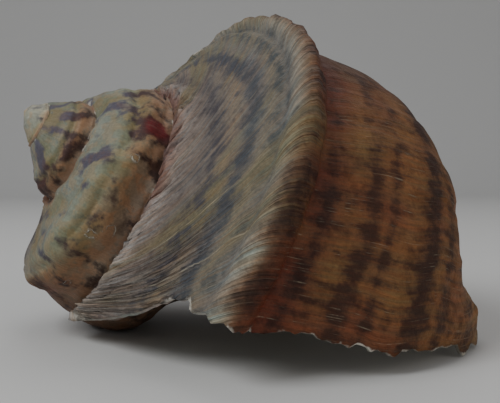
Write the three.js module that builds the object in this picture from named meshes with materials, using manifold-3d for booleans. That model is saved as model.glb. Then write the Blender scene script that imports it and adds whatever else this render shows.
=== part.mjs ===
// Large turban shell lying mouth down, one natural piece.
// Millimetres, +Z up, apex raised to the left (-X), outer lip at the front (-Y).
import * as THREE from 'three';
import Module from 'manifold-3d';

// Coil: every whorl is the last one shrunk about the apex.
const GROWTH_PER_RADIAN = 0.12;
const COIL_TO_BASE = new THREE.Vector3(0.7528, 0.3596, -0.5514);
const ANGLE_ZERO = new THREE.Vector3(0.3152, -0.9323, -0.1776);
const APEX_TURNS = 3.7;
const APEX_HEIGHT = -1.0;
const APEX_BLUNTING = 3.0;
const APEX_BLUNT_RADIUS = 9.2;
const APEX_BLUNT_HEIGHTS = [13, 30];

// Whorl profile, [radius, height below the apex] at angle zero, from the suture
// over the ramp, the keel (5), the groove (7), the side and the base to the pillar.
const SUTURE = [36.2, 41.6];
const NEXT_SUTURE = 9;
const SUTURE_BLEND = [0, 2.2];
const PROFILE_LATE = [
  SUTURE, [46.9, 45.5], [62.7, 49.5], [76.6, 53.1], [83.2, 54.8], [89.4, 59.4],
  [88.8, 64.7], [86.1, 69.0], [87.8, 79.2], [91.1, 91.1], [93.7, 103.0], [93.1, 115.8],
  [86.5, 131.0], [71.0, 141.2], [52.8, 144.2], [35.6, 141.9], [21.1, 139.9],
];
const PROFILE_MIDDLE = [
  SUTURE, [46.9, 42.9], [62.0, 46.5], [73.6, 48.5], [79.5, 51.5], [83.8, 56.4],
  [84.8, 62.0], [85.8, 67.3], [88.4, 75.2], [91.7, 86.5], [92.4, 100.0], [88.4, 114.2],
  [78.5, 126.7], [62.7, 135.3], [46.2, 139.3], [33.0, 139.9], [21.1, 139.9],
];
const PROFILE_EARLY = [
  SUTURE, [43.9, 43.2], [52.1, 48.2], [59.4, 54.5], [63.7, 58.7], [67.3, 63.4],
  [70.0, 68.0], [72.3, 72.6], [74.9, 79.9], [76.9, 88.4], [78.5, 99.0], [76.6, 110.6],
  [70.3, 121.4], [57.8, 130.3], [44.6, 136.0], [32.3, 138.6], [21.1, 139.9],
];
const LAST = PROFILE_LATE.length - 1;

// Coil angles, in degrees, over which the early profile ends and the late one comes in.
const EARLY_ENDS = [-450, -290];
const LATE_COMES = [-190, -115];

// Worn spire: the suture is lower and a little further in.
const WORN_ANGLES = [-640, -420];
const WORN_RADIUS = 0.05;
const WORN_HEIGHT = 0.24;

// Shallow dip of the ramp and keel on the side away from the mouth.
const DIP_COMES = [-262, -215];
const DIP_GOES = [-135, -100];
const DIP_RAMP = [0.3, 2.6];
const DIP_SIDE = [6, 9];
const DIP_SHIFT = [-5, 2];

// Each whorl's side is drawn in from this station to meet the next suture.
const DRAW_START = 4;
const DRAW_POWER = 1.4;
const DRAW_END = 14;
const DRAW_ANGLES = 50;

// Lip: coil angle of the mouth's edge at each profile point, in degrees.
const LIP_ANGLE = [77, 46, 21, 12, 10, 8, 7.5, 7, 3.5, 0.5, -1.5, -6, -10, -20, -36, -47, -52];
const SUTURE_FLARE = 0.13;
const FLARE_ANGLES = [20, 90];
const TONGUE_RISE = [2.6, 15.2];
const TONGUE_COMES = [11.4, 13.3];
const TONGUE_GOES = [14, 16];
const TONGUE_TURNS = 0.07;

// Pillar in the middle of the mouth.
const PILLAR_END_HEIGHT = 124.1;
const PILLAR_INNER_HEIGHT = 121.5;
const PILLAR_TURNS = 0.12;
const PILLAR_TIP = [2.6, -35, 126.7];
const PILLAR_RATIO = 0.075;
const PILLAR_START = 13.5;
const PILLAR_BEND = [0.72, 0.22];
const PILLAR_BULGE = 2.6;
const INNER_LIP_SWEEP = 95;
const INNER_LIP_TURNS = [-1, -0.45];

// Wall and hollow.
const LIP_THICKNESS = 1.7;
const WALL_THICKNESS = 5.3;
const WALL_TURNS = 0.12;
const KEEL_FILL = 3.0;
const KEEL_COMES = [3, 5];
const KEEL_GOES = [5, 8.5];
const KEEL_TURNS = 0.05;
const THICKEST_SHARE = 0.6;
const TUBE_CENTRE = [54.5, 95.7];
const HOLLOW_TURNS = 0.75;

// Mesh density and the worn spots the shell rests on.
const ROWS_PER_TURN = 46;
const HALF_STEPS_FROM = 8;
const PILLAR_STEPS = 3;
const REST_CUT = 0.4;

// Surface: a worn, slightly glossy outer layer.
const COLOUR = 0x7d6b58;
const ROUGHNESS = 0.55;
const METALNESS = 0;

const RADIANS = Math.PI / 180;
const WHORL = 360;
const LIP_AT_SUTURE = LIP_ANGLE[0];

function smooth(x, low, high) {
  const t = Math.min(1, Math.max(0, (x - low) / (high - low)));
  return t * t * (3 - 2 * t);
}

function mix(a, b, t) {
  return a + (b - a) * t;
}

function scaleAt(angle) {
  return Math.exp(GROWTH_PER_RADIAN * angle * RADIANS);
}

// Catmull-Rom curve through a list of numbers.
function along(values, station) {
  const t = Math.min(Math.max(station, 0), values.length - 1);
  const i = Math.min(Math.floor(t), values.length - 2);
  const f = t - i;
  const p = (k) => values[Math.min(Math.max(i + k, 0), values.length - 1)];
  const linear = p(1) - p(-1);
  const square = 2 * p(-1) - 5 * p(0) + 4 * p(1) - p(2);
  const cube = 3 * p(0) - p(-1) - 3 * p(1) + p(2);
  return 0.5 * (2 * p(0) + f * (linear + f * (square + f * cube)));
}

function pointAlong(profile, station) {
  const radius = along(profile.map((p) => p[0]), station);
  const height = along(profile.map((p) => p[1]), station);
  return [radius, height];
}

// The spire is rounded, the far side of the body shouldered, the newest part keeled.
function profileAt(angle, station) {
  const early = 1 - smooth(angle, ...EARLY_ENDS);
  const late = smooth(angle, ...LATE_COMES);
  const parts = [[PROFILE_EARLY, early], [PROFILE_LATE, late], [PROFILE_MIDDLE, 1 - early - late]];
  const point = [0, 0];
  for (const [profile, weight] of parts) {
    const p = pointAlong(profile, station);
    point[0] += p[0] * weight;
    point[1] += p[1] * weight;
  }
  return point;
}

function sutureAt(angle) {
  const scale = scaleAt(angle);
  const worn = 1 - smooth(angle, ...WORN_ANGLES);
  const flare = SUTURE_FLARE * smooth(angle, ...FLARE_ANGLES);
  const radius = SUTURE[0] * scale * (1 + flare - WORN_RADIUS * worn);
  const height = SUTURE[1] * scale * (1 - WORN_HEIGHT * worn);
  return [radius, height];
}

// How far a whorl's side is drawn to the suture of the next whorl.
function sutureDraw(angle, station) {
  const share = (station - DRAW_START) / (NEXT_SUTURE - DRAW_START);
  const rise = Math.min(1, Math.max(0, share)) ** DRAW_POWER;
  const innerLip = LIP_AT_SUTURE - WHORL;
  const covered = 1 - smooth(angle, innerLip, innerLip + DRAW_ANGLES);
  return rise * (1 - smooth(station, NEXT_SUTURE, DRAW_END)) * covered;
}

// The tongue of the lip at the foot of the mouth.
function tongueAt(angle, station) {
  const behind = (along(LIP_ANGLE, station) - angle) / WHORL;
  const across = smooth(station, ...TONGUE_COMES) * (1 - smooth(station, ...TONGUE_GOES));
  return across * smooth(-behind, -TONGUE_TURNS, 0);
}

function dipAt(angle, station) {
  const far = smooth(angle, ...DIP_COMES) * (1 - smooth(angle, ...DIP_GOES));
  return far * smooth(station, ...DIP_RAMP) * (1 - smooth(station, ...DIP_SIDE));
}

// [radius, height] of the outer face at a coil angle and a station of the profile.
function outerFace(angle, station) {
  const scale = scaleAt(angle);
  const point = profileAt(angle, station).map((value) => value * scale);
  const next = sutureAt(angle + WHORL);
  const meet = profileAt(angle, NEXT_SUTURE).map((value) => value * scale);
  const draw = sutureDraw(angle, station);
  const dip = dipAt(angle, station) * scale;
  const tongue = tongueAt(angle, station);
  const own = sutureAt(angle);
  const start = 1 - smooth(station, ...SUTURE_BLEND);
  for (const k of [0, 1]) {
    point[k] += (next[k] - meet[k]) * draw;
    point[k] += TONGUE_RISE[k] * tongue;
    point[k] += (own[k] - SUTURE[k] * scale) * start;
    point[k] += DIP_SHIFT[k] * dip;
  }
  const blunt = Math.exp(-((point[0] / APEX_BLUNT_RADIUS) ** 2));
  point[1] -= APEX_BLUNTING * blunt * (1 - smooth(point[1], ...APEX_BLUNT_HEIGHTS));
  return point;
}

// The same face, led on past the base in a hollow cone to the end of the pillar.
function faceWithPillar(angle, station, endHeight) {
  if (station <= PILLAR_START) return outerFace(angle, station);
  const start = outerFace(angle, PILLAR_START);
  const end = [PILLAR_RATIO * endHeight, endHeight];
  const bend = [0, 1].map((k) => mix(start[k], end[k], PILLAR_BEND[k]));
  bend[1] += PILLAR_BULGE * scaleAt(angle);
  const t = (station - PILLAR_START) / (LAST + 1 - PILLAR_START);
  return [0, 1].map((k) => mix(mix(start[k], bend[k], t), mix(bend[k], end[k], t), t));
}

// Inner face of the wall: the outer face drawn in towards the middle of the tube.
function innerFace(angle, station, turns) {
  const scale = scaleAt(angle);
  const outer = faceWithPillar(angle, station, pillarEnd(angle, turns));
  const centre = TUBE_CENTRE.map((value) => value * scale);
  const keel = smooth(station, ...KEEL_COMES) * (1 - smooth(station, ...KEEL_GOES));
  const wall = mix(LIP_THICKNESS, WALL_THICKNESS, smooth(-turns, 0, WALL_TURNS));
  const thickness = wall + KEEL_FILL * keel * scale * smooth(-turns, 0, KEEL_TURNS);
  const reach = Math.hypot(outer[0] - centre[0], outer[1] - centre[1]);
  const share = Math.min(thickness / reach, THICKEST_SHARE);
  return [mix(outer[0], centre[0], share), mix(outer[1], centre[1], share)];
}

// Height of the pillar's end: fixed at the mouth, shrinking with the coil behind it.
function pillarEnd(angle, turns) {
  return mix(PILLAR_INNER_HEIGHT * scaleAt(angle), PILLAR_END_HEIGHT, smooth(turns, -PILLAR_TURNS, 0));
}

// Coil angle of a growth line: turns 0 is the lip, turns -1 the inner lip.
function growthAngle(turns, station) {
  const newness = smooth(turns, ...INNER_LIP_TURNS);
  const lip = along(LIP_ANGLE, station) - LIP_AT_SUTURE;
  const innerLip = -INNER_LIP_SWEEP * smooth(station, NEXT_SUTURE, LAST);
  return LIP_AT_SUTURE + WHORL * turns + mix(innerLip, lip, newness);
}

function stationList() {
  const stations = [];
  for (let s = 0; s <= LAST; s += s < HALF_STEPS_FROM ? 1 : 0.5) {
    stations.push(s);
  }
  for (let k = 1; k <= PILLAR_STEPS; k += 1) {
    stations.push(LAST + k / PILLAR_STEPS);
  }
  return stations;
}

class Surface {
  constructor() {
    this.points = [];
    this.faces = [];
  }

  add(angle, [radius, height]) {
    const a = angle * RADIANS;
    this.points.push(new THREE.Vector3(radius * Math.cos(a), radius * Math.sin(a), height));
    return this.points.length - 1;
  }

  face(a, b, c) {
    this.faces.push([c, b, a]);
  }

  // Quads between two rows of point numbers.
  strip(first, second) {
    for (let j = 0; j + 1 < first.length; j += 1) {
      this.face(first[j], first[j + 1], second[j + 1]);
      this.face(first[j], second[j + 1], second[j]);
    }
  }

  // Fan from one point to every edge of a closed ring.
  fan(hub, ring) {
    ring.forEach((point, i) => this.face(hub, point, ring[(i + 1) % ring.length]));
  }

  middle(ring) {
    const sum = new THREE.Vector3();
    ring.forEach((i) => sum.add(this.points[i]));
    this.points.push(sum.divideScalar(ring.length));
    return this.points.length - 1;
  }
}

// Rows of the last whorl, from the inner lip (turn -1) to the lip (turn 0).
function lastWhorl(surface, stations) {
  const rows = [];
  for (let i = 0; i <= ROWS_PER_TURN; i += 1) {
    const turns = i / ROWS_PER_TURN - 1;
    rows.push(stations.map((station) => {
      const angle = growthAngle(turns, station);
      return surface.add(angle, faceWithPillar(angle, station, PILLAR_END_HEIGHT));
    }));
  }
  return rows;
}

// Rows of the spire, each one ending on the first point of the row a turn later.
function spireWhorls(surface, stations, whorl) {
  const seam = stations.indexOf(NEXT_SUTURE);
  const count = Math.round((APEX_TURNS - 1) * ROWS_PER_TURN);
  const rows = [];
  for (let i = 0; i < count; i += 1) {
    const angle = LIP_AT_SUTURE - WHORL * (1 + (count - i) / ROWS_PER_TURN);
    const row = stations.slice(0, seam).map((station) => surface.add(angle, outerFace(angle, station)));
    rows.push(row);
  }
  const starts = rows.concat(whorl).map((row) => row[0]);
  rows.forEach((row, i) => row.push(starts[i + ROWS_PER_TURN]));
  whorl[0][seam] = whorl[ROWS_PER_TURN][0];
  return rows.concat([whorl[0].slice(0, seam + 1)]);
}

function closeApex(surface, spire) {
  const hub = surface.add(0, [0, APEX_HEIGHT]);
  const starts = spire.slice(0, ROWS_PER_TURN).map((row) => row[0]);
  const back = spire[0].slice(1).reverse();
  surface.fan(hub, starts.concat(back));
}

// Floor of the hollow: the covered side of the whorl below, seen from the mouth.
function hollowFloor(surface, stations, whorl, rows) {
  const seam = stations.indexOf(NEXT_SUTURE);
  const floor = [];
  for (let i = 0; i < rows; i += 1) {
    const turns = (i - rows) / ROWS_PER_TURN;
    floor.push(stations.slice(seam + 1).map((station) => {
      const angle = growthAngle(-1, station) + WHORL * turns;
      const end = pillarEnd(angle + WHORL, turns);
      return surface.add(angle, faceWithPillar(angle, station, end));
    }));
  }
  floor.push(whorl[0].slice(seam + 1));
  return floor;
}

// Closed rings around the hollow: floor end, inner face of the wall, floor end.
function hollowRoof(surface, stations, floor) {
  return floor.map((row, i) => {
    const turns = (i + 1 - floor.length) / ROWS_PER_TURN;
    const wall = stations.slice(1).map((station) => {
      const angle = growthAngle(turns, station);
      return surface.add(angle, innerFace(angle, station, turns));
    });
    return [row[0], ...wall, row[row.length - 1]];
  });
}

function buildSurface() {
  const surface = new Surface();
  const stations = stationList();
  const whorl = lastWhorl(surface, stations);
  const spire = spireWhorls(surface, stations, whorl);
  for (let i = 0; i + 1 < spire.length; i += 1) surface.strip(spire[i], spire[i + 1]);
  closeApex(surface, spire);
  const tip = surface.add(PILLAR_TIP[1], [PILLAR_TIP[0], PILLAR_TIP[2]]);
  for (let i = 0; i < ROWS_PER_TURN; i += 1) {
    surface.strip(whorl[i], whorl[i + 1]);
    surface.face(whorl[i].at(-1), tip, whorl[i + 1].at(-1));
  }
  const rows = Math.round(HOLLOW_TURNS * ROWS_PER_TURN);
  const floor = hollowFloor(surface, stations, whorl, rows);
  const roof = hollowRoof(surface, stations, floor);
  for (let i = 0; i < rows; i += 1) {
    surface.strip(floor[i], floor[i + 1]);
    surface.strip(roof[i + 1], roof[i]);
  }
  surface.strip([...whorl.at(-1), tip], roof.at(-1));
  const deep = roof[0].concat(floor[0].slice(1, -1).reverse());
  surface.fan(surface.middle(deep), deep);
  return surface;
}

// Turn the coil into its resting pose.
function layDown(points) {
  const base = COIL_TO_BASE.clone().normalize();
  const side = new THREE.Vector3().crossVectors(base, ANGLE_ZERO).normalize();
  const zero = new THREE.Vector3().crossVectors(side, base);
  const pose = new THREE.Matrix4().makeBasis(zero, side, base);
  points.forEach((point) => point.applyMatrix4(pose));
}

// Wear the lowest spots flat and close the mesh as one solid.
async function wearAndClose(surface) {
  const kernel = await Module();
  kernel.setup();
  const { Manifold, Mesh } = kernel;
  const lowest = Math.min(...surface.points.map((point) => point.z));
  const vertProperties = new Float32Array(surface.points.flatMap((p) => [p.x, p.y, p.z]));
  const triVerts = new Uint32Array(surface.faces.flat());
  const mesh = new Mesh({ numProp: 3, vertProperties, triVerts });
  mesh.merge();
  const worn = new Manifold(mesh).trimByPlane([0, 0, 1], lowest + REST_CUT);
  return worn.getMesh();
}

function toGeometry(mesh) {
  const geometry = new THREE.BufferGeometry();
  geometry.setAttribute('position', new THREE.BufferAttribute(mesh.vertProperties, 3));
  geometry.setIndex(new THREE.BufferAttribute(mesh.triVerts, 1));
  geometry.computeBoundingBox();
  const box = geometry.boundingBox;
  const middle = box.getCenter(new THREE.Vector3());
  geometry.translate(-middle.x, -middle.y, -box.min.z);
  geometry.computeVertexNormals();
  return geometry;
}

async function build() {
  const surface = buildSurface();
  layDown(surface.points);
  const mesh = await wearAndClose(surface);
  const material = new THREE.MeshStandardMaterial({
    color: COLOUR,
    roughness: ROUGHNESS,
    metalness: METALNESS,
  });
  const shell = new THREE.Mesh(toGeometry(mesh), material);
  shell.name = 'shell';
  return shell;
}

const turbanShell = new THREE.Group();
turbanShell.add(await build());

export default turbanShell;
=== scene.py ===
import bpy
import numpy as np
from mathutils import Matrix, Vector


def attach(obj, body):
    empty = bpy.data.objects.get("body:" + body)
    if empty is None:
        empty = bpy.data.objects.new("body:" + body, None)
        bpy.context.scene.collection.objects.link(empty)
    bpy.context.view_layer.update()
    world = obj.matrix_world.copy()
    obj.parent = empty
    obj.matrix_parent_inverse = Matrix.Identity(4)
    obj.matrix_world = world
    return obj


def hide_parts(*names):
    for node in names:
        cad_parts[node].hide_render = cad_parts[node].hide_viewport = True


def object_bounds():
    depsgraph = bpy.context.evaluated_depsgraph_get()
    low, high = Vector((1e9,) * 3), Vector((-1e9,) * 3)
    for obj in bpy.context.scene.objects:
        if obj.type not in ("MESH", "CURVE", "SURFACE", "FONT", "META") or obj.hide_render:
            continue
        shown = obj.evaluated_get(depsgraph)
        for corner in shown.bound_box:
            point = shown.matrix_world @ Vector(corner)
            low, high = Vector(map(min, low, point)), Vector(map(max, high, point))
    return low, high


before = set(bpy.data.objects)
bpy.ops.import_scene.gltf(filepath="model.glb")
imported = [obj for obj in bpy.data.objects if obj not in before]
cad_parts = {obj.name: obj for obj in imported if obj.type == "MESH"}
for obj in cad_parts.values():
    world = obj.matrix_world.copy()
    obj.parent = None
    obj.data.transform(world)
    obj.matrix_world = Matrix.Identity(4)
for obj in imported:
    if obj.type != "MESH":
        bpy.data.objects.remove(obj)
cad_low, cad_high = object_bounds()

# The coil is worked out in millimetres about its apex, then laid down and turned to metres.
MM = 0.001

# Coil, as in the CAD: every whorl is the last one shrunk about the apex.
GROWTH_PER_RADIAN = 0.12
COIL_TO_BASE = (0.7528, 0.3596, -0.5514)
ANGLE_ZERO = (0.3152, -0.9323, -0.1776)
WHORL = 360.0
APEX_TURNS = 3.7
APEX_HEIGHT = -1.0
APEX_BLUNTING = 3.0
APEX_BLUNT_RADIUS = 9.2

# Whorl profile, [radius, height below the apex] at angle zero, from the suture (0) over the
# ramp, the keel (5), the groove (7), the side and the base to the pillar (16).
SUTURE = (36.2, 41.6)
NEXT_SUTURE = 9.0
PROFILE_LATE = np.array([
    SUTURE, (46.9, 45.5), (62.7, 49.5), (76.6, 53.1), (83.2, 54.8), (89.4, 59.4),
    (88.8, 64.7), (86.1, 69.0), (87.8, 79.2), (91.1, 91.1), (93.7, 103.0), (93.1, 115.8),
    (86.5, 131.0), (71.0, 141.2), (52.8, 144.2), (35.6, 141.9), (21.1, 139.9),
])
PROFILE_MIDDLE = np.array([
    SUTURE, (46.9, 42.9), (62.0, 46.5), (73.6, 48.5), (79.5, 51.5), (83.8, 56.4),
    (84.8, 62.0), (85.8, 67.3), (88.4, 75.2), (91.7, 86.5), (92.4, 100.0), (88.4, 114.2),
    (78.5, 126.7), (62.7, 135.3), (46.2, 139.3), (33.0, 139.9), (21.1, 139.9),
])
PROFILE_EARLY = np.array([
    SUTURE, (43.9, 43.2), (52.1, 48.2), (59.4, 54.5), (63.7, 58.7), (67.3, 63.4),
    (70.0, 68.0), (72.3, 72.6), (74.9, 79.9), (76.9, 88.4), (78.5, 99.0), (76.6, 110.6),
    (70.3, 121.4), (57.8, 130.3), (44.6, 136.0), (32.3, 138.6), (21.1, 139.9),
])
LAST = len(PROFILE_LATE) - 1

# Lip: coil angle of the mouth's edge at each profile point, in degrees. The growth lines
# follow the lip before it was chipped.
LIP_ANGLE = np.array(
    [77, 46, 21, 12, 10, 8, 7.5, 7, 3.5, 0.5, -1.5, -6, -10, -20, -36, -47, -52.0])
GROWTH_ANGLE = np.array(
    [84, 58, 36, 22, 15, 9, 7, 6, 3.5, 0.5, -1.5, -6, -10, -20, -36, -47, -52.0])
LIP_AT_SUTURE = LIP_ANGLE[0]
SUTURE_FLARE = 0.13
TONGUE_RISE = (2.6, 15.2)
TONGUE_TURNS = 0.07

# Pillar in the middle of the mouth.
PILLAR_END_HEIGHT = 124.1
PILLAR_TIP = (2.6, -35.0, 126.7)
PILLAR_RATIO = 0.075
PILLAR_START = 13.5
INNER_LIP_SWEEP = 95.0

# Wall and hollow.
LIP_THICKNESS = 1.7
WALL_THICKNESS = 5.3
KEEL_FILL = 3.0
TUBE_CENTRE = (54.5, 95.7)
HOLLOW_TURNS = 0.75
REST_CUT = 0.4

# Mesh density: rows along the coil, steps across the profile in millimetres.
SPIRE_ROWS = 192
BODY_ROWS = 2 * SPIRE_ROWS
HOLLOW_ROWS = 54
STEP_SEEN = 1.55
STEP_BASE = 2.6
PILLAR_STEPS = 14

# Length of shell grown since a point, measured along the keel.
KEEL_RADIUS = 89.4

# Colours of the shell, as 0-255 display values.
OLIVE = (112, 102, 66)
RED_BROWN = (96, 48, 34)
CREAM = (186, 174, 148)
WHITE = (206, 200, 186)
# Dark plum brown for the body far back from the lip: partly the coat's own colour, partly painted
# shade of the side that turns away from the light.
PLUM_AND_SIDE_SHADE = (66, 46, 38)
DARK_RED = (96, 22, 22)
GREY_GREEN = (150, 152, 136)
PALE_BODY = [
    (0.0, 180, 170, 162), (0.45, 172, 160, 150), (0.75, 134, 122, 113), (1.1, 118, 107, 98),
    (1.4, 114, 105, 97),
    (2.0, 126, 111, 92), (2.5, 106, 101, 98), (3.0, 120, 110, 92), (3.8, 106, 102, 96),
    (4.15, 126, 122, 112), (4.55, 136, 124, 106), (4.9, 116, 88, 64), (5.3, 98, 62, 40),
    (6.8, 84, 40, 24), (7.3, 98, 52, 34), (8.2, 110, 80, 52), (9.1, 104, 72, 46),
    (9.8, 114, 82, 52), (10.6, 102, 70, 42), (11.1, 112, 78, 44), (12.0, 120, 84, 44),
    (12.8, 120, 90, 50), (17.0, 134, 116, 86),
]
DEEP_BODY = [
    (0.0, 70, 54, 52), (2.0, 66, 66, 72), (3.4, 66, 70, 70), (4.2, 76, 75, 74),
    (4.8, 70, 52, 40), (5.4, 52, 27, 16), (7.0, 46, 20, 11), (8.5, 54, 31, 19),
    (10.6, 50, 28, 15), (13.0, 66, 42, 20), (17.0, 84, 66, 44),
]
PALE_SPIRE = [
    (0.0, 118, 117, 104), (2.5, 126, 125, 108), (4.2, 130, 126, 98), (5.4, 128, 108, 80),
    (7.0, 134, 106, 80), (9.0, 134, 112, 94),
]
DEEP_SPIRE = [
    (0.0, 88, 82, 88), (3.0, 80, 70, 78), (4.6, 72, 50, 46), (6.5, 62, 36, 28),
    (9.0, 62, 42, 34),
]

# Painted shade in the gaps between flaky growth steps, and the nacre and callus inside.
GAP_SHADE = (48, 38, 32)
PEARL_PINK = (212, 192, 182)
PEARL_GREEN = (190, 200, 188)
CALLUS = (222, 212, 196)

# Hue play of the outer coat: factors on red, green and blue.
WARM_TINT = (1.1, 0.98, 0.9, 1.0)
COOL_TINT = (0.92, 1.01, 1.08, 1.0)

# Grown length, in millimetres, at a dark red spot on the spire.
OVAL_AT = 421.5

# Pale scars where the lip once broke: grown length, first and last station.
SCARS = [(38.0, 0.8, 4.3), (66.0, 0.9, 3.6)]

# Traces of small worm tubes on the spire: grown length, millimetres from the suture, radius.
WORM_TUBES = [
    (379.7, 35.7, 2.6), (376.1, 31.0, 1.4), (405.5, 28.7, 1.3), (389.5, 37.3, 0.9),
    (396.3, 6.0, 0.8), (353.2, 37.3, 1.2),
]

# The side and base are warmer than the ramp: factors on red, green and blue.
BODY_WARMTH = (1.06, 0.98, 0.84)

# Dark spiral bands: station, half width in stations, strength.
BODY_BANDS = [
    (7.5, 0.4, 0.6), (8.75, 0.4, 0.7), (9.35, 0.25, 0.5), (10.6, 0.5, 0.75),
    (11.4, 0.3, 0.5), (12.3, 0.35, 0.5),
]

# Blunt knobs on the spire.
KNOBS_PER_TURN = 9.0
KNOB_HEIGHT = 3.0


def smooth(x, low, high):
    t = np.clip((x - low) / (high - low), 0.0, 1.0)
    return t * t * (3.0 - 2.0 * t)


def mix(a, b, t):
    return a + (b - a) * t


def bump_at(x, centre, half_width):
    """A smooth hump of height 1."""
    t = np.clip(1.0 - np.abs(x - centre) / half_width, 0.0, 1.0)
    return t * t * (3.0 - 2.0 * t)


def scale_at(angle):
    return np.exp(GROWTH_PER_RADIAN * np.radians(angle))


def along(values, station):
    """Catmull-Rom curve through the rows of values."""
    t = np.clip(station, 0.0, len(values) - 1.0)
    i = np.minimum(t.astype(int), len(values) - 2)
    f = t - i
    if values.ndim == 2:
        f = f[..., None]
    p = [values[np.clip(i + k, 0, len(values) - 1)] for k in (-1, 0, 1, 2)]
    linear = p[2] - p[0]
    square = 2 * p[0] - 5 * p[1] + 4 * p[2] - p[3]
    cube = 3 * p[1] - p[0] - 3 * p[2] + p[3]
    return 0.5 * (2 * p[1] + f * (linear + f * (square + f * cube)))


def profile_at(angle, station):
    early = 1.0 - smooth(angle, -450, -290)
    late = smooth(angle, -190, -115)
    middle = 1.0 - early - late
    return (
        along(PROFILE_EARLY, station) * early[..., None]
        + along(PROFILE_MIDDLE, station) * middle[..., None]
        + along(PROFILE_LATE, station) * late[..., None])


def suture_at(angle):
    scale = scale_at(angle)
    worn = 1.0 - smooth(angle, -640, -420)
    flare = SUTURE_FLARE * smooth(angle, 20, 90)
    radius = SUTURE[0] * scale * (1.0 + flare - 0.05 * worn)
    height = SUTURE[1] * scale * (1.0 - 0.24 * worn)
    return np.stack([radius, height], -1)


def suture_draw(angle, station):
    rise = np.clip((station - 4.0) / (NEXT_SUTURE - 4.0), 0.0, 1.0) ** 1.4
    first = LIP_AT_SUTURE - WHORL
    covered = 1.0 - smooth(angle, first, first + 50)
    return rise * (1.0 - smooth(station, NEXT_SUTURE, 14)) * covered


def tongue_at(angle, station):
    turns = (angle - along(LIP_ANGLE, station)) / WHORL
    across = smooth(station, 11.4, 13.3) * (1.0 - smooth(station, 14, 16))
    return across * smooth(turns, -TONGUE_TURNS, 0)


def outer_face(angle, station):
    """(radius, height) of the outer face at a coil angle and a station of the profile."""
    scale = scale_at(angle)[..., None]
    point = profile_at(angle, station) * scale
    meet = profile_at(angle, np.full_like(station, NEXT_SUTURE)) * scale
    point += (suture_at(angle + WHORL) - meet) * suture_draw(angle, station)[..., None]
    point += np.array(TONGUE_RISE) * tongue_at(angle, station)[..., None]
    start = (1.0 - smooth(station, 0, 2.2))[..., None]
    point += (suture_at(angle) - np.array(SUTURE) * scale) * start
    far = smooth(angle, -262, -215) * (1.0 - smooth(angle, -135, -100))
    low = far * smooth(station, 0.3, 2.6) * (1.0 - smooth(station, 6, 9))
    point += np.array((-5.0, 2.0)) * low[..., None] * scale
    blunt = np.exp(-((point[..., 0] / APEX_BLUNT_RADIUS) ** 2))
    point[..., 1] -= APEX_BLUNTING * blunt * (1.0 - smooth(point[..., 1], 13, 30))
    return point


def face_with_pillar(angle, station, end_height):
    """The same face, led on past the base in a hollow cone to the end of the pillar."""
    start = outer_face(angle, np.minimum(station, PILLAR_START))
    end_height = end_height + 0.0 * angle
    end = np.stack([PILLAR_RATIO * end_height, end_height], -1)
    corner = np.stack([
        mix(start[..., 0], end[..., 0], 0.72),
        mix(start[..., 1], end[..., 1], 0.22) + 2.6 * scale_at(angle)], -1)
    t = np.clip((station - PILLAR_START) / (LAST + 1 - PILLAR_START), 0.0, 1.0)[..., None]
    return mix(mix(start, corner, t), mix(corner, end, t), t)


def pillar_end(angle, turns):
    return mix(121.5 * scale_at(angle), PILLAR_END_HEIGHT, smooth(turns, -0.12, 0))


def inner_face(angle, station, turns):
    """The outer face drawn in towards the middle of the tube by the wall's thickness."""
    scale = scale_at(angle)
    outer = face_with_pillar(angle, station, pillar_end(angle, turns))
    centre = np.stack([TUBE_CENTRE[0] * scale, TUBE_CENTRE[1] * scale], -1)
    keel = smooth(station, 3, 5) * (1.0 - smooth(station, 5, 8.5))
    wall = mix(LIP_THICKNESS, WALL_THICKNESS, smooth(-turns, 0, 0.12))
    thickness = wall + KEEL_FILL * keel * scale * mix(0.4, 1.0, smooth(-turns, 0, 0.05))
    reach = np.linalg.norm(outer - centre, axis=-1)
    share = np.minimum(thickness / reach, 0.6)[..., None]
    return mix(outer, centre, share)


def growth_angle(turns, station):
    """Coil angle of a mesh row: turns 0 is the lip, turns -1 the inner lip."""
    newness = smooth(turns, -1, -0.45)
    lip = along(LIP_ANGLE, station) - LIP_AT_SUTURE
    inner_lip = -INNER_LIP_SWEEP * smooth(station, NEXT_SUTURE, LAST)
    return LIP_AT_SUTURE + WHORL * turns + mix(inner_lip, lip, newness)


def station_list():
    """Stations at even steps of arc length, with one exactly on the next whorl's suture."""
    fine = np.linspace(0.0, LAST, 1601)
    points = along(PROFILE_LATE, fine)
    length = np.concatenate([[0], np.cumsum(np.linalg.norm(np.diff(points, axis=0), axis=1))])
    spans = [(0.0, NEXT_SUTURE, STEP_SEEN), (NEXT_SUTURE, 13.0, STEP_SEEN), (13.0, LAST, STEP_BASE)]
    stations = []
    for first, last, step in spans:
        low, high = np.interp([first, last], fine, length)
        count = int(round((high - low) / step))
        marks = np.linspace(low, high, count, endpoint=False)
        stations.extend(np.interp(marks, length, fine))
    stations.extend(LAST + np.arange(PILLAR_STEPS + 1) / PILLAR_STEPS)
    return np.array(stations)


def grown_length(angle, station):
    """Millimetres of keel grown after this point; growth lines sweep back less on the spire."""
    sweep = 1.0 - 0.85 * (1.0 - smooth(angle, -380, -200))
    age = angle - sweep * along(GROWTH_ANGLE, station)
    return KEEL_RADIUS / GROWTH_PER_RADIAN * (1.0 - np.exp(GROWTH_PER_RADIAN * np.radians(age)))


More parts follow.
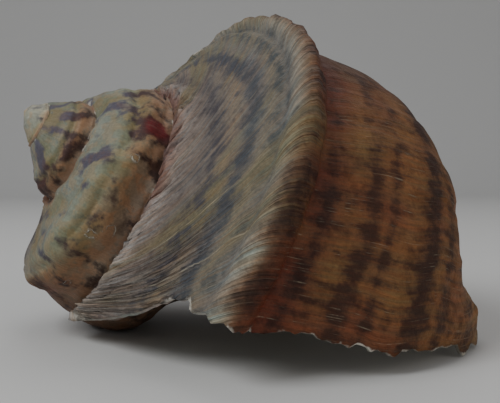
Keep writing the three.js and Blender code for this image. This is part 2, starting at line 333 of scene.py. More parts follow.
class Noise:
    """Smooth value noise on a repeating lattice, the same on every run."""

    SIZE = 64

    def __init__(self, seed):
        self.table = np.random.default_rng(seed).uniform(-1.0, 1.0, (self.SIZE,) * 2)

    def cell(self, i, j):
        return self.table[i % self.SIZE, j % self.SIZE]

    def __call__(self, x, y):
        """Two lattices at an angle, so that no rows of squares show."""
        turned = self.lattice(0.6 * x - 0.8 * y + 7.3, 0.8 * x + 0.6 * y)
        return 0.72 * (self.lattice(x, y) + turned)

    def lattice(self, x, y):
        x, y = np.broadcast_arrays(x, y)
        i, j = np.floor(x).astype(int), np.floor(y).astype(int)
        f, g = x - i, y - j
        f, g = f * f * (3 - 2 * f), g * g * (3 - 2 * g)
        near = mix(self.cell(i, j), self.cell(i + 1, j), f)
        far = mix(self.cell(i, j + 1), self.cell(i + 1, j + 1), f)
        return mix(near, far, g)

    def rough(self, x, y, octaves=3):
        total = sum(self(x * 2.0**k, y * 2.0**k) / 2.0**k for k in range(octaves))
        return total / 1.5


noise_a = Noise(11)
noise_b = Noise(23)
noise_c = Noise(37)


def age_of(angle):
    """1 on the spire, 0 on the last whorl."""
    return 1.0 - smooth(angle, -330, -250)


def knobs(angle, station):
    """Blunt knobs on the shoulders of the spire."""
    phase = angle / WHORL * KNOBS_PER_TURN
    wave = 0.5 + 0.5 * np.cos(2 * np.pi * phase)
    height = 1.0 + 0.5 * noise_a(np.round(phase) + 0.5, 0.5)
    across = bump_at(station, 4.4, 2.6)
    return KNOB_HEIGHT * scale_at(angle + 200) * wave**1.5 * height * across * age_of(angle)


def round_shoulder(angle, station):
    """Takes the edge off the spire's shoulder and swells the faces beside it."""
    shape = 0.7 * bump_at(station, 2.3, 1.8) - 1.1 * bump_at(station, 4.6, 1.2)
    shape += 0.9 * bump_at(station, 6.8, 1.7)
    return 1.5 * shape * scale_at(angle + 300) * age_of(angle)


def keel_rope(angle, station, length):
    """The keel as a thick round cord with rings and chips, and a groove on each side."""
    new = smooth(angle, -300, -230) * (0.3 + 0.7 * smooth(length, 4, 24))
    slant = length + 2.0 * (station - 5.0)
    cord = 1.9 * bump_at(station, 4.9, 1.05) - 1.5 * bump_at(station, 3.75, 0.6)
    groove = -0.9 * bump_at(station, 7.0, 0.8) + 0.5 * bump_at(station, 6.2, 0.8)
    rings = noise_b(slant / 2.1, station * 0.3) * 0.32 + noise_c(slant / 5.0, station * 0.4) * 0.45
    chips = smooth(noise_a(slant / 6.0, station * 0.7), 0.3, 0.85)
    across = bump_at(station, 5.1, 1.6)
    return new * (cord + groove + across * (rings - 0.8 * chips))


def lamellae(length, station):
    """Coarse growth steps, strongest near the suture by the lip."""
    warp = length + 1.6 * noise_c(length / 9.0, station * 1.3)
    saw = (warp / 3.4) % 1.0
    step = saw * (1.0 - smooth(saw, 0.75, 1.0))
    near_lip = 1.0 - smooth(length, 25, 120)
    near_suture = 1.0 - 0.75 * smooth(station, 1.8, 3.4)
    patches = np.clip(0.7 + 0.6 * noise_a(length / 13.0, station * 2.0), 0.0, 1.4)
    return 1.1 * near_lip * near_suture * step * patches * (1.0 - smooth(station, 3.4, 3.9))


def growth_waves(length, station):
    """Swellings and small steps left where growth paused."""
    wide = noise_b(length / 11.0, station * 0.25) * 0.3
    fine = noise_c(length / 4.2, station * 0.3) * 0.2
    warp = length + 4.0 * noise_a(length / 40.0, station * 0.5)
    pause = (warp / 17.0) % 1.0
    return wide + fine + 0.55 * pause * (1.0 - smooth(pause, 0.86, 1.0))


def suture_crust(angle, station, length):
    body = smooth(angle, -300, -230)
    ledge = bump_at(station, 0.35, 0.8)
    return body * ledge * (1.7 + 2.6 * noise_a.rough(length / 3.4, station * 3.0))


def tongue_lumps(station, length, across):
    tongue = smooth(station, 11.6, 13.0) * (1.0 - smooth(station, 15.0, 16.5))
    new = 1.0 - smooth(length, 20, 46)
    return tongue * new * 1.7 * noise_b.rough(length / 8.0, across / 9.0)


def break_step(station, length):
    """Steps where the lip was once broken and grew on."""
    keel = 0.8 * bump_at(station, 5.0, 1.6) * bump_at(length, 18.0, 3.5)
    side_line = 47.0 + 3.0 * noise_a(station * 2.3, 3.5) + 1.5 * noise_b(station * 6.1, 1.5)
    side = 0.7 * smooth(station, 7.4, 8.0) * (1.0 - smooth(station, 11.0, 13.0))
    return side * (smooth(length, side_line, side_line + 1.5) - 0.5) - keel


def relief(angle, station, length, across):
    """Height of the surface detail above the plain outer face, in millimetres."""
    old = age_of(angle)
    lumps = 0.5 * noise_c.rough(length / 26.0, across / 24.0)
    worn = old * 1.9 * scale_at(angle + 250) * noise_a.rough(length / 11.0, across / 9.0)
    total = (
        growth_waves(length, station) * (1.0 - old) + lumps + worn
        + knobs(angle, station) + round_shoulder(angle, station) + keel_rope(angle, station, length)
        + lamellae(length, station) + suture_crust(angle, station, length)
        + tongue_lumps(station, length, across) + break_step(station, length) * (1.0 - old))
    deepest = 0.1 + 0.08 * np.maximum(length, 0.0) + 0.3 * (1.0 - bump_at(station, 6.5, 1.5))
    total = np.maximum(total, -deepest)
    apex = smooth(angle, -1150, -950)
    covered = smooth(station, 15.0, 16.5)
    return total * apex * (1.0 - covered)


def lip_chips(station):
    """How far the lip is broken back at each station, in degrees of the coil."""
    coarse = np.abs(noise_a(station * 2.1, 0.0)) + 0.6 * np.abs(noise_b(station * 5.3, 0.0))
    fine = 0.35 * np.abs(noise_c(station * 11.0, 0.0))
    notch = 1.5 * bump_at(station, 2.75, 0.7)
    ends = (1.0 - smooth(station, 14.0, 16.0)) * smooth(station, 0.0, 0.4)
    return 1.5 * (coarse + fine + notch) * ends


class Surface:
    """Points with their place on the coil, and faces."""

    def __init__(self):
        self.angle = []
        self.station = []
        self.profile = []
        self.outer = []
        self.count = 0
        self.faces = []

    def add(self, angle, station, profile, outer):
        numbers = self.count + np.arange(angle.size).reshape(angle.shape)
        self.angle.append(angle.ravel())
        self.station.append(np.broadcast_to(station, angle.shape).ravel())
        self.profile.append(profile.reshape(-1, 2))
        self.outer.append(np.full(angle.size, float(outer)))
        self.count += angle.size
        return numbers

    def quads(self, first, second):
        """Quads between rows of point numbers, one pair of arrays of equal shape."""
        a, b = first[..., :-1], first[..., 1:]
        c, d = second[..., 1:], second[..., :-1]
        self.faces.append(np.stack([a, d, c, b], -1).reshape(-1, 4))

    def triangles(self, a, b, c):
        a, b, c = (np.ravel(x) for x in np.broadcast_arrays(a, b, c))
        self.faces.append(np.stack([a, c, b, np.full(a.size, -1)], -1))

    def fan(self, hub, ring):
        self.triangles(hub, ring, np.roll(ring, -1))


def build_surface():
    surface = Surface()
    stations = station_list()
    seam = int(np.argmin(np.abs(stations - NEXT_SUTURE)))

    turns = np.arange(-BODY_ROWS, 1)[:, None] / BODY_ROWS
    angle = growth_angle(turns, stations[None, :])
    angle = angle - lip_chips(stations)[None, :] * smooth(turns, -0.06, 0)
    face = face_with_pillar(angle, np.broadcast_to(stations, angle.shape), PILLAR_END_HEIGHT)
    whorl = surface.add(angle, stations, face, True)

    count = int(round((APEX_TURNS - 1) * SPIRE_ROWS))
    back = (count - np.arange(count))[:, None] / SPIRE_ROWS
    angle = LIP_AT_SUTURE - WHORL * (1 + back) + 0.0 * stations[None, :seam]
    face = outer_face(angle, np.broadcast_to(stations[:seam], angle.shape))
    spire = surface.add(angle, stations[:seam], face, True)

    whorl[0, seam] = whorl[-1, 0]
    surface.quads(whorl[:-1], whorl[1:])
    old = np.concatenate([spire, whorl[:1, :seam]])
    surface.quads(old[:-1], old[1:])
    close_seam(surface, spire, whorl, seam)
    close_apex(surface, spire)

    tip = surface.add(
        np.array([PILLAR_TIP[1]]), LAST + 1.0, np.array([[PILLAR_TIP[0], PILLAR_TIP[2]]]), False)
    surface.triangles(whorl[:-1, -1], tip, whorl[1:, -1])
    floor = hollow_floor(surface, stations, whorl, seam)
    roof = hollow_roof(surface, stations, floor)
    surface.quads(floor[:-1], floor[1:])
    surface.quads(roof[1:], roof[:-1])
    surface.quads(np.append(whorl[-1], tip)[None], roof[-1:])
    deep = np.concatenate([roof[0], floor[0][-2:0:-1]])
    hub = middle_of(surface, deep)
    surface.fan(hub, deep)
    return surface


def close_seam(surface, spire, whorl, seam):
    """Joins each spire row's last point to the whorl that grew over it."""
    rows = np.concatenate([spire, whorl[:1, :seam]])
    edge = rows[:, -1]
    starts = rows[:-1, 0]
    covered = len(rows) - 1 - SPIRE_ROWS
    own = np.concatenate([starts[SPIRE_ROWS:], whorl[:1, 0]])
    surface.quads(
        np.stack([edge[:covered], own[:covered]], -1),
        np.stack([edge[1:covered + 1], own[1:covered + 1]], -1))
    first, second = edge[covered:-1], edge[covered + 1:]
    a, b, c = whorl[:-1:2, 0], whorl[1::2, 0], whorl[2::2, 0]
    surface.triangles(first, a, b)
    surface.triangles(first, b, second)
    surface.triangles(second, b, c)


def close_apex(surface, spire):
    hub = surface.add(np.array([-1300.0]), 0.0, np.array([[0.0, APEX_HEIGHT]]), True)
    ring = np.concatenate([spire[:SPIRE_ROWS + 1, 0], spire[0, :0:-1]])
    surface.fan(hub, ring)


def hollow_floor(surface, stations, whorl, seam):
    """Covered side of the whorl below, which is the floor of the hollow."""
    turns = -HOLLOW_TURNS * (1 - np.arange(HOLLOW_ROWS) / HOLLOW_ROWS)[:, None]
    across = stations[None, seam + 1:]
    angle = growth_angle(-1.0, across) + WHORL * turns
    end = mix(121.5 * scale_at(angle + WHORL), PILLAR_END_HEIGHT, smooth(turns, -0.12, 0))
    face = face_with_pillar(angle, np.broadcast_to(across, angle.shape), end)
    rows = surface.add(angle, across, face, False)
    return np.concatenate([rows, whorl[:1, seam + 1:]])


def hollow_roof(surface, stations, floor):
    """Closed rows round the hollow: floor end, inner face of the wall, floor end."""
    turns = -HOLLOW_TURNS * (1 - np.arange(HOLLOW_ROWS + 1) / HOLLOW_ROWS)[:, None]
    across = stations[None, 1:]
    angle = growth_angle(turns, across)
    angle = angle - lip_chips(across) * smooth(turns, -0.06, 0)
    across = np.broadcast_to(across, angle.shape)
    rows = surface.add(angle, across, inner_face(angle, across, turns), False)
    return np.concatenate([floor[:, :1], rows, floor[:, -1:]], 1)


def middle_of(surface, ring):
    profile = np.concatenate(surface.profile)[ring].mean(0, keepdims=True)
    angle = np.concatenate(surface.angle)[ring].mean(keepdims=True)
    return surface.add(angle, 12.0, profile, False)


def place(angle, profile):
    """Points in millimetres about the apex, in the resting pose."""
    base = Vector(COIL_TO_BASE).normalized()
    side = base.cross(Vector(ANGLE_ZERO)).normalized()
    zero = side.cross(base)
    turn = np.radians(angle)[:, None]
    radial = np.cos(turn) * np.array(zero) + np.sin(turn) * np.array(side)
    return profile[:, :1] * radial + profile[:, 1:] * np.array(base)


def vertex_normals(points, triangles):
    corner = points[triangles]
    normal = np.cross(corner[:, 1] - corner[:, 0], corner[:, 2] - corner[:, 0])
    total = np.zeros_like(points)
    for k in range(3):
        np.add.at(total, triangles[:, k], normal)
    return total / np.maximum(np.linalg.norm(total, axis=1, keepdims=True), 1e-9)


def split_quads(faces):
    quads = faces[faces[:, 3] >= 0]
    return np.concatenate([faces[:, :3], quads[:, [0, 2, 3]]])


def to_frame(plain):
    """Shift, in millimetres, that puts the plain shell where the CAD shell is."""
    low, high = plain.min(0), plain.max(0)
    centre = (np.array(cad_low) + np.array(cad_high)) / 2 / MM
    shift = centre - (low + high) / 2
    shift[2] = -(low[2] + REST_CUT)
    return shift


def linear(colour):
    """Scene-linear values of 0-255 display colours."""
    c = np.asarray(colour, float) / 255.0
    return np.where(c <= 0.04045, c / 12.92, ((c + 0.055) / 1.055) ** 2.4)


def by_station(table, station):
    """Colour at each station, from rows of (station, red, green, blue)."""
    rows = np.array(table, float)
    return np.stack([np.interp(station, rows[:, 0], rows[:, k]) for k in (1, 2, 3)], -1)


def blend(colour, other, amount):
    return mix(colour, np.array(other, float), np.clip(amount, 0.0, 1.0)[..., None])


def spiral_bands(station, length):
    """Dark spiral bands, broken into blocks in the older part of the last whorl."""
    near_lip = 1.0 - smooth(length, 25, 80)
    total = np.zeros_like(station)
    for number, (centre, half, strength) in enumerate(BODY_BANDS):
        sway = centre + 0.1 * noise_c(length / 17.0, centre)
        blocks = 0.5 + 0.7 * noise_b(length / 6.0, 4.0 * number + station * 0.8)
        blocks = mix(blocks, 0.75 + 0.3 * blocks, near_lip)
        total = np.maximum(total, 0.85 * strength * bump_at(station, sway, half) * blocks)
    return total


def ramp_bands_and_groove_shade(station, length):
    """Slate bands that drift towards the suture in the older part of the ramp, and painted shade in
    the groove beside the keel.
    """
    soft = 0.8 + 0.5 * noise_b.rough(length / 16.0, station * 0.7)
    inner = bump_at(station, 1.7 - 0.6 * smooth(length, 80, 190), 0.38)
    middle = bump_at(station, 2.5 - 0.5 * smooth(length, 100, 160), 0.42)
    outer = bump_at(station, 3.3 - 0.3 * smooth(length, 90, 150), 0.4) * smooth(length, 60, 100)
    # A darker line in the groove on the ramp side of the keel: painted shade in the groove.
    groove_shade = bump_at(station, 3.95, 0.25) * smooth(length, 35, 60)
    return soft * (0.45 * inner + 0.62 * middle + 0.45 * outer + 0.4 * groove_shade)


def last_whorl_coat(station, length, across):
    pale = by_station(PALE_BODY, station)
    deep = by_station(DEEP_BODY, station)
    body = smooth(station, 7.0, 7.8)
    patches = noise_a.rough(length / 21.0, across / 26.0)
    pale = blend(pale, OLIVE, 0.55 * smooth(patches, 0.0, 0.7) * (1.0 - 0.35 * body))
    pale = blend(pale, RED_BROWN, 0.5 * smooth(-patches, 0.0, 0.7) * smooth(station, 4.8, 6))
    # Darker body from 82 mm back from the lip: partly its own colour, partly painted shade of the
    # side that turns away from the light.
    pale = blend(pale, PLUM_AND_SIDE_SHADE, 0.6 * body * smooth(length, 82, 108))
    rusty = (1.0 - smooth(station, 0.2, 0.7)) * smooth(length, 95, 130)
    pale = blend(pale, RED_BROWN, 0.6 * rusty)
    blotches = noise_c.rough(length / 5.5, across / 14.0)
    streaks = noise_b.rough(length / 2.6, across / 30.0)
    amount = 0.24 + mix(0.12, 0.22, body) * blotches + mix(0.16, 0.24, body) * streaks
    amount += 0.12 * body * (1.0 - smooth(length, 40, 60))
    amount += spiral_bands(station, length) + ramp_bands_and_groove_shade(station, length)
    amount *= 1.0 - 0.8 * (1.0 - smooth(station, 0.3, 1.1)) * (1.0 - smooth(length, 90, 120))
    bars = smooth(noise_a(length / 4.5, station * 0.25), -0.2, 0.5)
    amount = mix(amount, 0.2 + 0.5 * bars, bump_at(station, 5.4, 1.7))
    amount = mix(amount, 0.15 + 0.3 * streaks, bump_at(station, 4.4, 0.45))
    warmth = mix(np.ones(3), np.array(BODY_WARMTH), smooth(station, 5.0, 6.5)[:, None])
    pale, deep = pale * warmth, deep * warmth
    corner = bump_at(station, 4.4, 1.0) * (1.0 - smooth(length, 6, 11))
    corner = np.maximum(corner, bump_at(station, 4.6, 0.7) * bump_at(length, 24.0, 5.0))
    return blend(pale, GREY_GREEN, corner), deep, amount * (1.0 - 0.8 * corner)


def spire_coat(angle, station, length, across):
    pale = by_station(PALE_SPIRE, station)
    deep = by_station(DEEP_SPIRE, station)
    patches = noise_a.rough(length / 17.0, across / 16.0)
    pale = blend(pale, OLIVE, 0.6 * smooth(patches, 0.0, 0.6) * (1.0 - smooth(station, 5.5, 7.5)))
    pale = blend(pale, CREAM, 0.25 * smooth(-patches, 0.1, 0.7))
    spots = noise_b(length / 5.5, across / 8.0) + 0.4 * noise_c(length / 3.0, across / 5.0)
    amount = 0.1 + 0.95 * spots + 0.15 * bump_at(station, 5.6, 1.6)
    oval = bump_at(station, 7.3, 2.1) * bump_at(length, OVAL_AT, 6.0)
    deep = blend(deep, DARK_RED, 2.0 * oval)
    apex = 1.0 - smooth(angle, -1160, -1000)
    return blend(pale, CREAM, 0.8 * apex), deep, (amount + 1.6 * oval) * (1.0 - 0.6 * apex)


def coat(angle, station, length, across):
    """Pale ground, dark pigment, how much of it, and white wear, at each place; the ground and the
    pigment hold some painted shade.
    """
    old = age_of(angle)
    pale, deep, amount = last_whorl_coat(station, length, across)
    pale_old, deep_old, amount_old = spire_coat(angle, station, length, across)
    pale = mix(pale, pale_old, old[:, None])
    deep = mix(deep, deep_old, old[:, None])
    amount = mix(amount, amount_old, old)
    flakes = 0.35 + 0.6 * noise_c.rough(length / 2.6, station * 2.5)
    above = smooth(station, 8.5, 8.9) * (1.0 - smooth(station, 9.1, 9.5)) * old
    ledge = 1.0 - smooth(station, 0.2, 1.0) + above
    crust = 0.7 * ledge * flakes * (1.0 - 0.8 * smooth(length, 95, 140) * (1.0 - old))
    from_lip = np.radians(along(LIP_ANGLE, station) - lip_chips(station) - angle) * KEEL_RADIUS
    edge = (1.0 - smooth(from_lip, 0.3, 1.3)) * smooth(station, 0.5, 2.0)
    chips = bump_at(station, 4.7, 1.3) * smooth(noise_a(length / 5.0, station * 0.7), 0.35, 0.8)
    chips *= smooth(length, 120, 150) * (1.0 - smooth(length, 175, 200)) * (1.0 - old)
    edge *= 0.4 + 0.5 * noise_b(length / 3.0, station * 2.0)
    white = np.clip(0.9 * crust + edge + 0.55 * chips, 0.0, 1.0)
    return pale, deep, amount, white


def across_of(angle, station):
    """Millimetres from the suture, measured across the whorl."""
    fine = np.linspace(0.0, LAST, 401)
    points = along(PROFILE_LATE, fine)
    length = np.concatenate([[0], np.cumsum(np.linalg.norm(np.diff(points, axis=0), axis=1))])
    beyond = np.maximum(station - LAST, 0.0) * 60.0
    return (np.interp(station, fine, length) + beyond) * scale_at(angle)


def corner_places(surface, corners, owners):
    """Coil angle and station of each face corner, keeping each whorl's own at the sutures."""
    angle = np.concatenate(surface.angle)[corners]
    station = np.concatenate(surface.station)[corners]
    widest = np.zeros(owners.max() + 1)
    np.maximum.at(widest, owners, station)
    below = (station == 0.0) & (widest[owners] > 5.0)
    station = np.where(below, NEXT_SUTURE, station)
    angle = np.where(below, angle - WHORL, angle)
    return angle, station


def colour_layer(mesh, name, colour, strength):
    layer = mesh.color_attributes.new(name, "FLOAT_COLOR", "CORNER")
    values = np.concatenate([colour, strength[:, None]], 1)
    layer.data.foreach_set("color", values.astype(np.float32).ravel())


def vector_layer(mesh, name, vectors):
    layer = mesh.attributes.new(name, "FLOAT_VECTOR", "CORNER")
    layer.data.foreach_set("vector", vectors.astype(np.float32).ravel())


def paint_shell(mesh, surface, faces):
    used = faces >= 0
    corners = faces[used]
    owners = np.nonzero(used)[0]
    angle, station = corner_places(surface, corners, owners)
    inside = 1.0 - np.concatenate(surface.outer)[corners]
    length = grown_length(angle, station)
    across = across_of(angle, station)
    pale, deep, amount, white = coat(angle, station, length, across)
    colour_layer(mesh, "pale", linear(pale), white)
    colour_layer(mesh, "deep", linear(deep), amount)
    vector_layer(mesh, "coil", np.stack([length, across, station], -1))
    callus = smooth(station, 11.0, 13.0) * inside
    vector_layer(mesh, "zone", np.stack([inside, callus, age_of(angle)], -1))


def make_shell():
    surface = build_surface()
    angle = np.concatenate(surface.angle)
    station = np.concatenate(surface.station)
    outer = np.concatenate(surface.outer)
    faces = np.concatenate(surface.faces)
    plain = place(angle, np.concatenate(surface.profile))
    triangles = split_quads(faces)
    normal = vertex_normals(plain, triangles)
    height = relief(angle, station, grown_length(angle, station), across_of(angle, station))
    points = plain + normal * (height * outer)[:, None]
    shift = to_frame(plain)
    points += shift
    points[:, 2] = np.maximum(points[:, 2], 0.0)
    mesh = bpy.data.meshes.new("turban_shell")
    lists = [[int(i) for i in face if i >= 0] for face in faces]
    mesh.from_pydata((points * MM).tolist(), [], lists)
    mesh.polygons.foreach_set("use_smooth", [True] * len(lists))
    paint_shell(mesh, surface, faces)
    shell = bpy.data.objects.new("turban_shell", mesh)
    bpy.context.collection.objects.link(shell)
    return shell, shift


def make_camera(apex):
    """Camera at the photograph's viewing angle, a hand's reach in front of the shell."""
    data = bpy.data.cameras.new("camera")
    data.sensor_width = 36.0
    data.lens = 57.6
    camera = bpy.data.objects.new("camera", data)
    bpy.context.collection.objects.link(camera)
    camera.location = apex + Vector((73.6, -265.1, -16.7)) * MM
    forward = Vector((0.0, 0.9988, -0.0489)).normalized()
    right = forward.cross(Vector((0.0045, 0.0, 1.0))).normalized()
    up = right.cross(forward)
    turn = Matrix((right, up, -forward)).transposed()
    camera.rotation_euler = turn.to_euler()
    bpy.context.scene.camera = camera
    return camera


def plain_material(name, colour, roughness):
    material = bpy.data.materials.new(name)
    material.use_nodes = True
    shader = material.node_tree.nodes["Principled BSDF"]
    shader.inputs["Base Color"].default_value = (*colour, 1.0)
    shader.inputs["Roughness"].default_value = roughness
    return material


class Graph:
    """Short calls for building a shader."""

    def __init__(self, name):
        self.material = bpy.data.materials.new(name)
        self.material.use_nodes = True
        self.tree = self.material.node_tree
        self.shader = self.tree.nodes["Principled BSDF"]

    def put(self, socket, value):
        if isinstance(value, bpy.types.NodeSocket):
            self.tree.links.new(value, socket)
        else:
            socket.default_value = value

    def node(self, kind, inputs, **settings):
        node = self.tree.nodes.new(kind)
        for name, value in settings.items():
            setattr(node, name, value)
        for key, value in inputs.items():
            self.put(node.inputs[key], value)
        return node

    def attribute(self, name):
        return self.node("ShaderNodeAttribute", {}, attribute_name=name)

    def math(self, operation, a, b=0.0, c=0.0):
        return self.node("ShaderNodeMath", {0: a, 1: b, 2: c}, operation=operation).outputs[0]

    def stretch(self, vector, factors):
        return self.node(
            "ShaderNodeVectorMath", {0: vector, 1: factors}, operation="MULTIPLY").outputs[0]

    def noise(self, vector, detail=2.0, roughness=0.5):
        inputs = {"Vector": vector, "Scale": 1.0, "Detail": detail, "Roughness": roughness}
        return self.node("ShaderNodeTexNoise", inputs).outputs[0]

    def ramp(self, value, low, high, start=0.0, end=1.0):
        inputs = {"Value": value, "From Min": low, "From Max": high, "To Min": start, "To Max": end}
        node = self.node("ShaderNodeMapRange", inputs, interpolation_type="SMOOTHSTEP")
        return node.outputs[0]

    def blend(self, factor, a, b, blend_type="MIX"):
        inputs = {0: factor, 6: a, 7: b}
        node = self.node("ShaderNodeMix", inputs, data_type="RGBA", blend_type=blend_type)
        return node.outputs[2]


def rgba(colour):
    return (*[float(v) for v in linear(colour)], 1.0)


def worm_tubes(g, coil, breaks):
    """Broken white rings."""
    total = 0.0
    for length, across, radius in WORM_TUBES:
        centre = {0: coil, 1: (length, across, 0.0)}
        offset = g.node("ShaderNodeVectorMath", centre, operation="SUBTRACT").outputs[0]
        flat = {0: g.stretch(offset, (1.0, 1.0, 0.0))}
        distance = g.node("ShaderNodeVectorMath", flat, operation="LENGTH").outputs[1]
        uneven = g.math("ADD", distance, g.ramp(breaks, 0.3, 0.7, -0.9, 0.9))
        off_ring = g.math("ABSOLUTE", g.math("SUBTRACT", uneven, radius))
        total = g.math("MAXIMUM", total, g.ramp(off_ring, 0.1, 0.5, 1.0, 0.0))
    return g.math("MULTIPLY", total, g.ramp(breaks, 0.44, 0.56))


class Coat:
    """Places, masks and noises that the shell material's functions share."""

    def __init__(self, g):
        self.coil = g.attribute("coil").outputs["Vector"]
        self.pale = g.attribute("pale")
        self.deep = g.attribute("deep")
        zone = g.node("ShaderNodeSeparateXYZ", {0: g.attribute("zone").outputs["Vector"]})
        self.inside, self.callus, self.old = zone.outputs
        self.spot = g.node("ShaderNodeTexCoord", {}).outputs["Object"]
        self.grown, _, self.station = g.node("ShaderNodeSeparateXYZ", {0: self.coil}).outputs
        self.wide_lines = g.noise(g.stretch(self.coil, (0.42, 0.035, 0.0)), 3.0, 0.6)
        self.fine_lines = g.noise(g.stretch(self.coil, (1.3, 0.07, 0.0)), 3.0, 0.65)
        self.mottle = g.noise(g.stretch(self.spot, (260.0,) * 3), 4.0, 0.6)
        self.grain = g.noise(g.stretch(self.spot, (1100.0,) * 3), 3.0, 0.6)
        self.fresh = g.ramp(self.old, 0.0, 1.0, 1.0, 0.3)
        self.rope = self.rope_mask(g)
        self.rings = g.ramp(g.noise(g.stretch(self.coil, (0.62, 0.0, 0.12)), 2.0, 0.6), 0.38, 0.62)
        self.gaps = self.flake_gaps(g)
        self.tubes = worm_tubes(g, self.coil, self.mottle)

    def rope_mask(self, g):
        """1 on the last whorl's keel."""
        start = g.ramp(self.station, 3.9, 4.3)
        rope = g.math("MULTIPLY", start, g.ramp(self.station, 5.6, 6.6, 1.0, 0.0))
        return g.math("MULTIPLY", rope, g.math("SUBTRACT", 1.0, self.old))

    def flake_gaps(self, g):
        """Dark gaps between growth steps near the suture by the lip, dented in the bump and
        darkened with painted shade.
        """
        start = g.ramp(self.station, 0.2, 0.6)
        flaky = g.math("MULTIPLY", start, g.ramp(self.station, 1.8, 3.0, 1.0, 0.0))
        flaky = g.math("MULTIPLY", flaky, g.ramp(self.grown, 45.0, 70.0, 1.0, 0.0))
        pattern = g.noise(g.stretch(self.coil, (0.62, 0.09, 0.0)), 2.0, 0.55)
        return g.math("MULTIPLY", flaky, g.math("SUBTRACT", 1.0, g.ramp(pattern, 0.42, 0.52)))


def ground_colour(g, c):
    """Pale ground and dark pigment, drawn out along the growth lines."""
    wide, fine = (g.math("MULTIPLY", lines, 0.5) for lines in (c.wide_lines, c.fine_lines))
    lines = g.ramp(g.math("ADD", wide, fine), 0.36, 0.64, -0.22, 0.22)
    cloud = g.ramp(c.mottle, 0.3, 0.7, -0.22, 0.22)
    cloud = g.math("MULTIPLY", cloud, g.ramp(c.old, 0.0, 1.0, 1.0, 1.8))
    push = g.math("ADD", g.math("MULTIPLY", lines, c.fresh), cloud)
    pigment = g.ramp(g.math("ADD", c.deep.outputs["Alpha"], push), 0.1, 0.9)
    return g.blend(pigment, c.pale.outputs["Color"], c.deep.outputs["Color"])


def hue_and_shade(g, c, colour):
    """Warm and cool streaks, darker and lighter lines, and painted light and shade on the keel's
    rings.
    """
    hue = g.noise(g.stretch(c.coil, (0.7, 0.05, 0.0)), 2.0, 0.6)
    soft = g.math("MULTIPLY", g.ramp(c.mottle, 0.3, 0.7), g.math("SUBTRACT", 1.0, c.fresh))
    hue = g.math("ADD", g.math("MULTIPLY", hue, c.fresh), soft)
    tint = g.blend(g.ramp(hue, 0.35, 0.65), WARM_TINT, COOL_TINT)
    colour = g.blend(1.0, colour, tint, "MULTIPLY")
    shade = g.math("MULTIPLY", g.ramp(c.fine_lines, 0.35, 0.65, -0.17, 0.17), c.fresh)
    shade = g.math("MULTIPLY", g.math("ADD", 1.0, shade), g.ramp(c.grain, 0.3, 0.7, 0.88, 1.12))
    # The keel's rings are painted lighter on their raised ridges and darker between them: painted
    # light and shade on the rings.
    ringed = g.math("MULTIPLY", c.rope, g.math("SUBTRACT", 0.6, c.rings))
    shade = g.math("MULTIPLY", shade, g.math("SUBTRACT", 1.0, g.math("MULTIPLY", ringed, 0.42)))
    return g.blend(1.0, colour, shade, "MULTIPLY")


def pale_threads(g, c):
    """Thin pale growth lines, and scars where the lip broke."""
    threads = g.noise(g.stretch(c.coil, (1.9, 0.05, 0.0)), 1.0, 0.5)
    broken = g.ramp(c.mottle, 0.45, 0.65, 0.0, 0.28)
    threads = g.math("MULTIPLY", g.ramp(threads, 0.62, 0.7), broken)
    threads = g.math("MULTIPLY", threads, c.fresh)
    wander = g.noise(g.stretch(c.coil, (0.0, 0.1, 0.0)), 1.0, 0.5)
    place_on = g.math("ADD", c.grown, g.ramp(wander, 0.3, 0.7, -1.0, 1.0))
    for at, low, high in SCARS:
        near = g.math("ABSOLUTE", g.math("SUBTRACT", place_on, at))
        start = g.ramp(c.station, low, low + 0.5)
        span = g.math("MULTIPLY", start, g.ramp(c.station, high - 0.5, high, 1.0, 0.0))
        scar = g.ramp(near, 0.1, 0.5, 1.0, 0.0)
        scar = g.math("MULTIPLY", scar, g.ramp(c.mottle, 0.35, 0.6, 0.0, 0.45))
        threads = g.math("MAXIMUM", threads, g.math("MULTIPLY", scar, span))
    return threads


def white_wear(g, c):
    """Chips, crust and worm tubes, where the coat is gone or covered."""
    uneven = g.ramp(c.mottle, 0.3, 0.7, -0.25, 0.25)
    wear = g.ramp(g.math("ADD", c.pale.outputs["Alpha"], uneven), 0.3, 0.7)
    return g.math("MAXIMUM", wear, g.math("MULTIPLY", c.tubes, 0.6))


def nacre(g, c):
    """Pearly lining, duller on the inner lip's callus."""
    play = g.noise(g.stretch(c.spot, (38.0,) * 3), 2.0, 0.5)
    pearl = g.blend(g.ramp(play, 0.3, 0.7), rgba(PEARL_PINK), rgba(PEARL_GREEN))
    return g.blend(g.math("MULTIPLY", c.callus, 0.6), pearl, rgba(CALLUS))


def fine_relief(g, c):
    """Height for the bump, low on the spire and almost none inside."""
    height = g.math("MULTIPLY", c.fine_lines, 0.6)
    height = g.math("ADD", height, g.math("MULTIPLY", c.wide_lines, 0.5))
    height = g.math("ADD", height, g.math("MULTIPLY", c.grain, 0.25))
    ringed = g.math("MULTIPLY", c.rings, c.rope)
    height = g.math("ADD", height, g.math("MULTIPLY", ringed, 0.55))
    height = g.math("SUBTRACT", height, g.math("MULTIPLY", c.gaps, 0.9))
    less_on_spire = g.ramp(c.old, 0.0, 1.0, 1.0, 0.45)
    worn = g.math("MULTIPLY", less_on_spire, g.ramp(c.inside, 0.0, 1.0, 1.0, 0.08))
    height = g.math("MULTIPLY", height, worn)
    return g.math("ADD", height, g.math("MULTIPLY", c.tubes, 0.8))


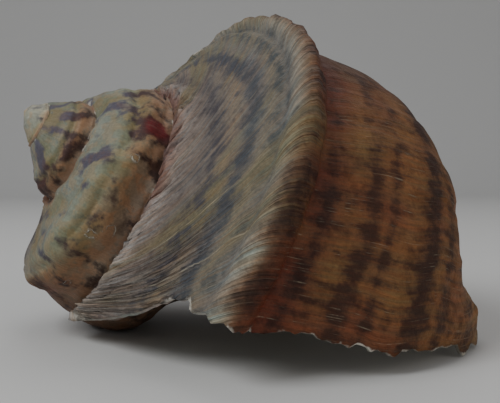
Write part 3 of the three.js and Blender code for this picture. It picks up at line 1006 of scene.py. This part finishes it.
def shell_material():
    """Weathered outer coat with growth streaks, and nacre inside."""
    g = Graph("turban_shell")
    c = Coat(g)
    colour = hue_and_shade(g, c, ground_colour(g, c))
    # Painted shade in the gaps between flakes.
    colour = g.blend(g.math("MULTIPLY", c.gaps, 0.6), colour, rgba(GAP_SHADE))
    colour = g.blend(pale_threads(g, c), colour, rgba(CREAM))
    colour = g.blend(white_wear(g, c), colour, rgba(WHITE))
    colour = g.blend(c.inside, colour, nacre(g, c))
    rough = g.ramp(c.mottle, 0.3, 0.7, 0.5, 0.68)
    rough = g.math("ADD", rough, g.math("MULTIPLY", c.inside, -0.36))
    height = fine_relief(g, c)
    bump = g.node("ShaderNodeBump", {"Height": height, "Distance": 0.0011, "Strength": 0.8})
    g.shader.inputs["Specular IOR Level"].default_value = 0.3
    g.put(g.shader.inputs["Base Color"], colour)
    g.put(g.shader.inputs["Roughness"], rough)
    g.put(g.shader.inputs["Normal"], bump.outputs[0])
    return g.material


def make_stage():
    """Pale floor that sweeps up into a backdrop far behind the shell."""
    steps = 24
    depth, radius, height, half = 1.1, 0.5, 1.6, 2.6
    rows = [(-1.4, 0.0), (depth, 0.0)]
    for i in range(1, steps + 1):
        turn = np.pi / 2 * i / steps
        rows.append((depth + radius * np.sin(turn), radius * (1 - np.cos(turn))))
    rows.append((depth + radius, height))
    points = [(x, y, z) for y, z in rows for x in (-half, half)]
    faces = [(2 * i, 2 * i + 1, 2 * i + 3, 2 * i + 2) for i in range(len(rows) - 1)]
    mesh = bpy.data.meshes.new("floor")
    mesh.from_pydata(points, [], faces)
    mesh.polygons.foreach_set("use_smooth", [True] * len(faces))
    mesh.materials.append(plain_material("pale_floor", (0.62, 0.61, 0.59), 0.65))
    floor = bpy.data.objects.new("floor", mesh)
    bpy.context.collection.objects.link(floor)


def area_light(name, place_at, size, power, colour=(1.0, 1.0, 1.0)):
    data = bpy.data.lights.new(name, "AREA")
    data.shape = "DISK"
    data.size = size
    data.energy = power
    data.color = colour
    light = bpy.data.objects.new(name, data)
    light.location = place_at
    aim = Vector((0.0, 0.0, 0.05)) - Vector(place_at)
    light.rotation_euler = aim.to_track_quat("-Z", "Y").to_euler()
    bpy.context.collection.objects.link(light)


def make_lights():
    area_light("window", (-0.7, -0.5, 0.9), 0.7, 9.0, (0.95, 0.98, 1.0))
    area_light("fill", (0.9, -0.7, 0.5), 0.9, 2.4, (1.0, 0.94, 0.87))
    area_light("top", (0.1, 0.5, 1.0), 0.8, 1.8)
    world = bpy.data.worlds.new("studio")
    world.use_nodes = True
    background = world.node_tree.nodes["Background"]
    background.inputs["Color"].default_value = (0.8, 0.82, 0.86, 1.0)
    background.inputs["Strength"].default_value = 0.35
    bpy.context.scene.world = world


shell, shift = make_shell()
shell.data.materials.append(shell_material())
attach(shell, "root")
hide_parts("shell")
make_camera(Vector(shift) * MM)
make_stage()
make_lights()
